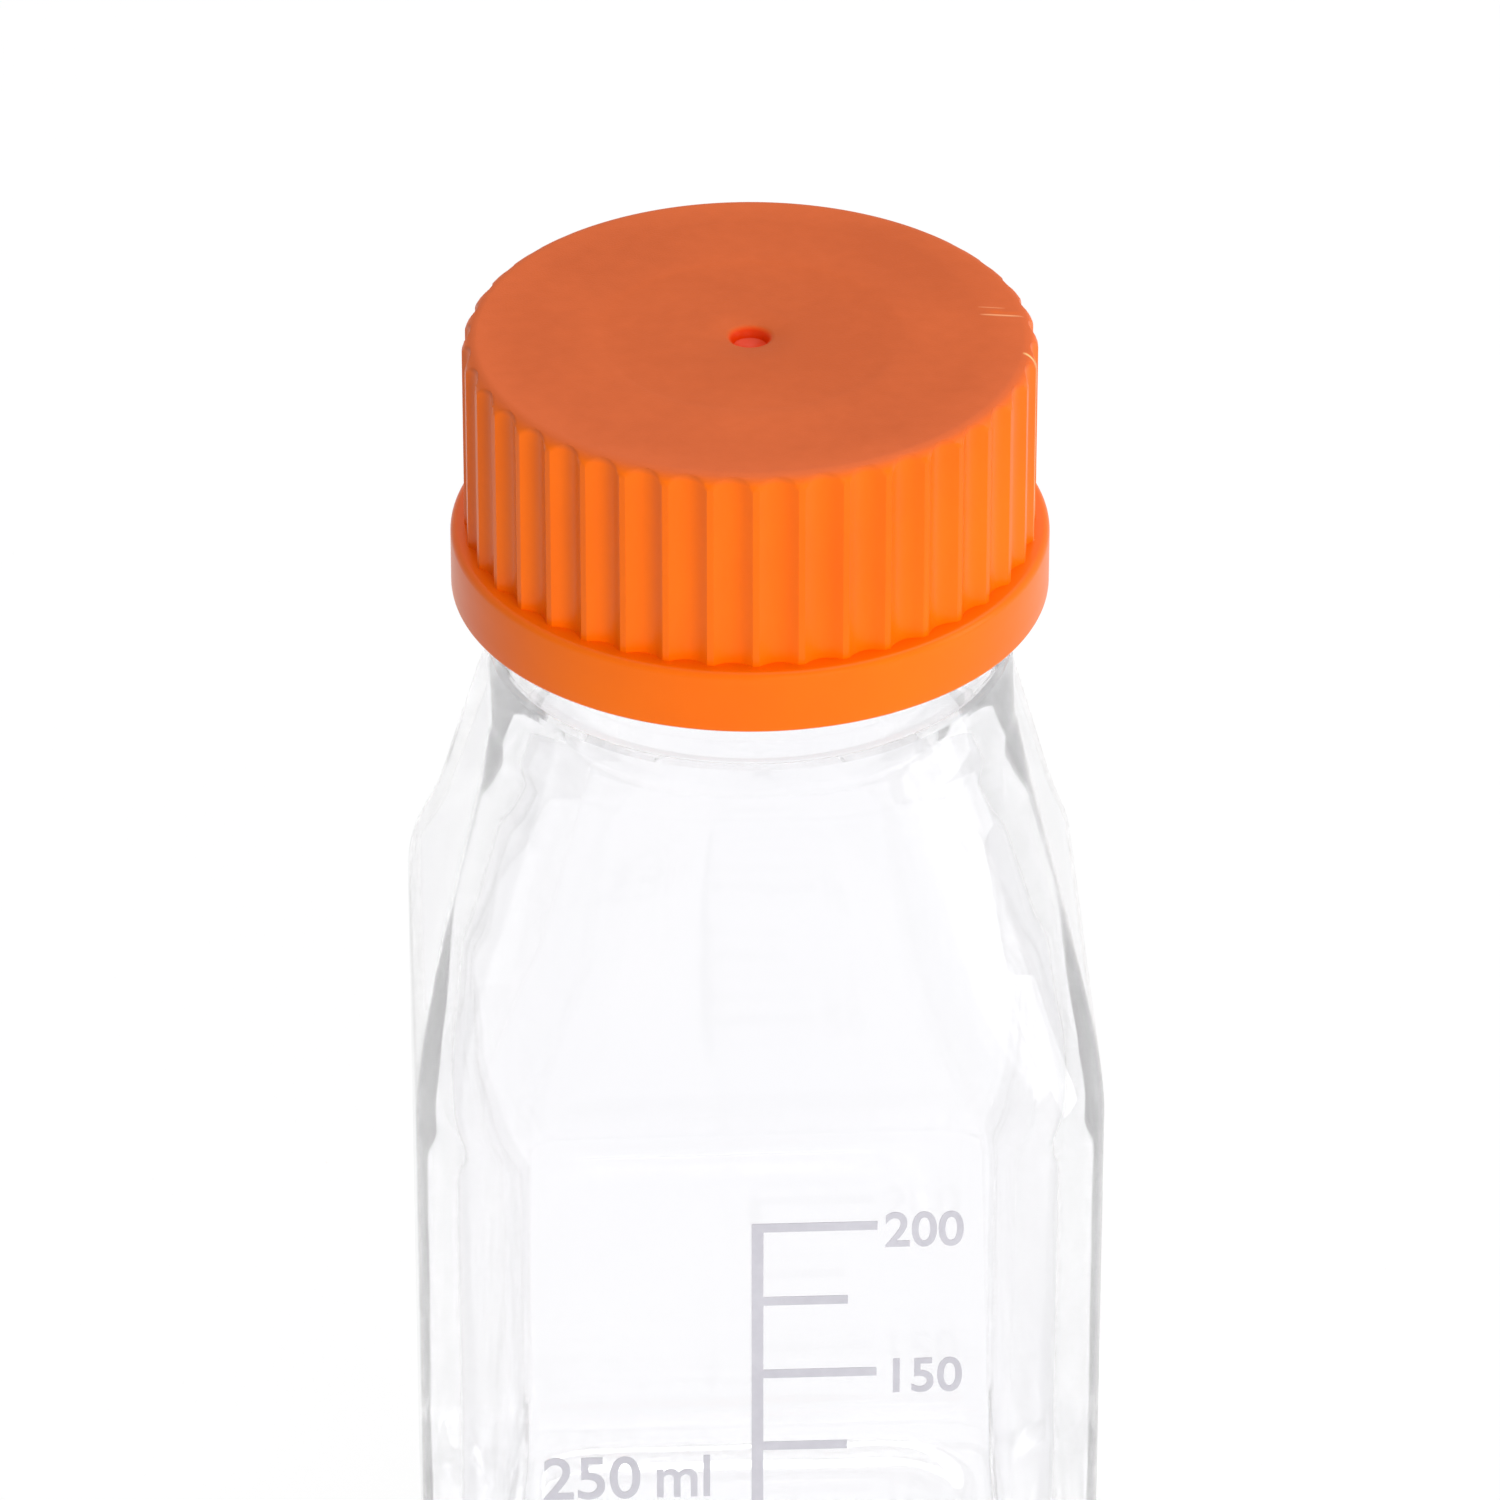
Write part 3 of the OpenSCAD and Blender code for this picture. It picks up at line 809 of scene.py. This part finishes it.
def seen_directly(graph):
    """1 for rays from the camera, mirrors and glass, which see the bright surround."""
    path = graph.node("ShaderNodeLightPath").outputs
    return graph.math("MINIMUM", graph.num(path["Is Camera Ray"]) + graph.num(path["Is Glossy Ray"])
                      + graph.num(path["Is Transmission Ray"]), 1.0)


def floor():
    """A white floor: bright where it is seen, plain where it only lights the object."""
    mesh = bpy.data.meshes.new("floor")
    size = 6.0
    corners = [(-size, -size, 0), (size, -size, 0), (size, size, 0), (-size, size, 0)]
    mesh.from_pydata(corners, [], [(0, 1, 2, 3)])
    made = bpy.data.objects.new("floor", mesh)
    bpy.context.scene.collection.objects.link(made)
    look = bpy.data.materials.new("white floor")
    look.use_nodes = True
    graph = Graph(look.node_tree)
    shader = look.node_tree.nodes["Principled BSDF"]
    shader.inputs["Base Color"].default_value = (0.82, 0.82, 0.82, 1)
    shader.inputs["Roughness"].default_value = 0.9
    glow = graph.node("ShaderNodeEmission", Color=(1, 1, 1, 1), Strength=1.03)
    mixed = graph.node("ShaderNodeMixShader", _0=seen_directly(graph) * 0.93, _1=shader.outputs[0],
                       _2=glow.outputs[0])
    look.node_tree.links.new(mixed.outputs[0], look.node_tree.nodes["Material Output"].inputs[0])
    mesh.materials.append(look)


def light(name, place, aim, size, power, mirrored=True):
    """A flat lamp at a place, facing its aim, which mirrors and glass may or may not show."""
    data = bpy.data.lights.new(name, "AREA")
    data.shape = "RECTANGLE"
    data.size = size[0]
    data.size_y = size[1]
    data.energy = power
    made = bpy.data.objects.new(name, data)
    made.location = place
    made.rotation_euler = (Vector(aim) - Vector(place)).to_track_quat("-Z", "Y").to_euler()
    made.visible_glossy = mirrored
    made.visible_transmission = mirrored
    bpy.context.scene.collection.objects.link(made)


def surround():
    """The room: white where it is seen straight, with greyer sides that the glass picks up."""
    world = bpy.data.worlds.new("studio")
    bpy.context.scene.world = world
    world.use_nodes = True
    graph = Graph(world.node_tree)
    seen_way = graph.node("ShaderNodeTexCoord").outputs["Generated"]
    axes = graph.node("ShaderNodeSeparateXYZ", _0=seen_way)
    up = graph.num(axes.outputs[2])
    side = abs(graph.num(axes.outputs[0]))
    path = graph.node("ShaderNodeLightPath").outputs
    straight = graph.num(path["Is Camera Ray"])
    refracted = graph.num(path["Is Transmission Ray"])
    mirrored = graph.num(path["Is Glossy Ray"])
    soft = graph.num(path["Is Diffuse Ray"])
    band = grey_ramp(graph, side, 0.86, 0.97, 0.0, 1.0)
    band = band * grey_ramp(graph, abs(up), 0.1, 0.4, 1.0, 0.0)
    glass_view = (refracted + mirrored * 0.8) * (1 - band * 0.4)
    strength = graph.math("MINIMUM", straight + glass_view, 1.0) + soft * 0.35
    back = world.node_tree.nodes["Background"]
    back.inputs["Color"].default_value = (1.0, 1.0, 1.0, 1)
    graph.feed(back, "Strength", strength)


camera()
glass_bottle()
screw_cap(TURNING)
cap_thread(HELIX)
ring_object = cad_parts["pouring_ring"]
for slot_index in range(len(ring_object.material_slots)):
    ring_object.material_slots[slot_index].material = RING
printed_scale()
floor()
surround()
light("overhead", (0.1, 0.15, 0.75), (0, 0, 0.1), (0.7, 0.7), 3.0)
light("front", (0.35, -0.95, 0.35), (0, 0, 0.12), (0.6, 0.6), 7.0, False)
light("right", (0.8, -0.1, 0.3), (0, 0, 0.12), (0.3, 0.5), 1.2)
bpy.context.scene.view_settings.view_transform = "Standard"
